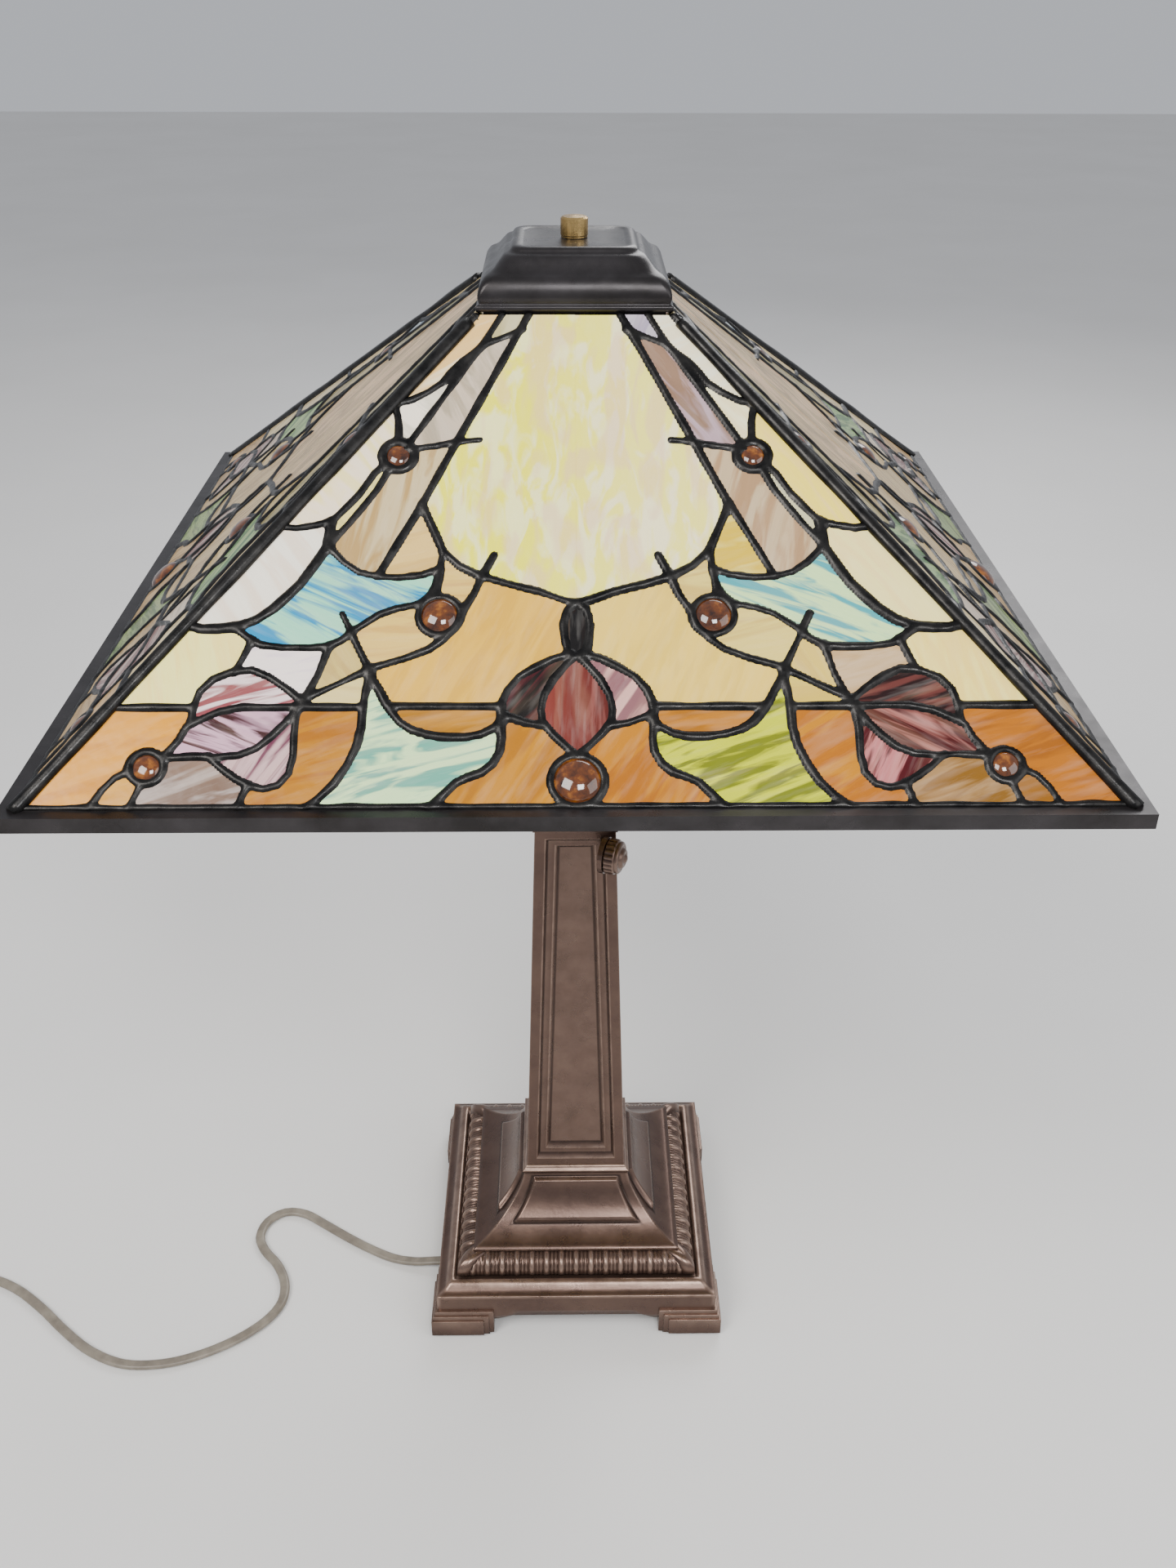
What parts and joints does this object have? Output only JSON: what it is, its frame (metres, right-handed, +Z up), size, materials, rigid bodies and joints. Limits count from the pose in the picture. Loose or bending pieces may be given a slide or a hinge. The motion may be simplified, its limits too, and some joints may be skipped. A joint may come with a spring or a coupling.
{
  "type": "table lamp",
  "caption": "Table lamp with a four-sided pyramid shade of leaded art glass, a stepped vent cap, a square tapered column with recessed frames and a square stepped cast base on bracket feet",
  "frame": {"origin": "on the ground under the middle of the base", "axes": "+Z up the column, -Y out of the front, where the switch knob is on the right"},
  "size_m": [0.651, 0.406, 0.5842],
  "materials": {
    "bronze_casting": "brown-black bronze finish on a hollow casting, rubbed lighter on the raised edges",
    "dark_patina": "dark blackened sheet metal, softly glossy",
    "art_glass": "streaky opalescent sheet glass",
    "solder_patina": "rounded solder beads with a dark patina",
    "brass": "plain brass, softly polished",
    "steel": "plain steel",
    "cast_iron": "rough cast",
    "felt": "dark felt",
    "phenolic": "dark moulded plastic",
    "porcelain": "white glazed porcelain",
    "frosted_bulb": "frosted glass",
    "cord_vinyl": "grey-brown flexible vinyl"
  },
  "bodies": {
    "base": {"foot_front_left": "bronze_casting", "foot_pad_front_left": "felt", "foot_front_right": "bronze_casting", "foot_pad_front_right": "felt", "foot_back_right": "bronze_casting", "foot_pad_back_right": "felt", "foot_back_left": "bronze_casting", "foot_pad_back_left": "felt", "plinth": "bronze_casting", "gadroon_band": "bronze_casting", "flared_skirt": "bronze_casting", "column": "bronze_casting", "column_head": "bronze_casting", "switch_housing": "bronze_casting", "base_cover": "steel", "base_washer": "steel", "base_nut": "steel", "lamp_pipe": "steel", "riser": "steel", "shade_seat": "steel", "seat_nut": "steel", "base_weight": "cast_iron", "cluster_body": "brass", "riser_coupling": "brass", "plug_blade_left": "brass", "plug_blade_right": "brass", "socket_arm_left": "brass", "socket_cup_left": "brass", "socket_shell_left": "brass", "socket_core_left": "porcelain", "bulb_cap_left": "brass", "bulb_glass_left": "frosted_bulb", "socket_arm_right": "brass", "socket_cup_right": "brass", "socket_shell_right": "brass", "socket_core_right": "porcelain", "bulb_cap_right": "brass", "bulb_glass_right": "frosted_bulb", "cord_lead": "cord_vinyl", "cord_tail": "cord_vinyl", "cord_coil": "cord_vinyl", "cord_grip": "phenolic", "plug_body": "phenolic"},
    "shade": {"glass_panel_front": "art_glass", "glass_panel_right": "art_glass", "glass_panel_back": "art_glass", "glass_panel_left": "art_glass", "hip_came_front_left": "solder_patina", "hip_came_front_right": "solder_patina", "hip_came_back_right": "solder_patina", "hip_came_back_left": "solder_patina", "shade_rim": "dark_patina", "shade_top_ring": "dark_patina", "vent_cap": "dark_patina"},
    "knob": {"switch_knob": "bronze_casting", "switch_shaft": "steel"},
    "finial_thread": {"finial_washer": "brass"},
    "finial": {"finial": "brass"}
  },
  "joints": [
    {"name": "shade_turn", "type": "hinge", "parent": "base", "child": "shade", "pos_m": [0, 0, 0.5714], "axis": [0, 0, 1], "continuous": true},
    {"name": "knob_turn", "type": "hinge", "parent": "base", "child": "knob", "pos_m": [0.016, -0.031, 0.291], "axis": [0.9397, -0.342, 0], "continuous": true},
    {"name": "finial_lift", "type": "slide", "parent": "base", "child": "finial_thread", "axis": [0, 0, 1], "range_m": [0, 0.0047]},
    {"name": "finial_turn", "type": "hinge", "parent": "finial_thread", "child": "finial", "pos_m": [0, 0, 0.5765], "axis": [0, 0, 1], "range_deg": [0, 1800]}
  ],
  "couplings": [
    {"joint": "finial_turn", "follows": "finial_lift", "rad_per_m": 6684.2}
  ]
}
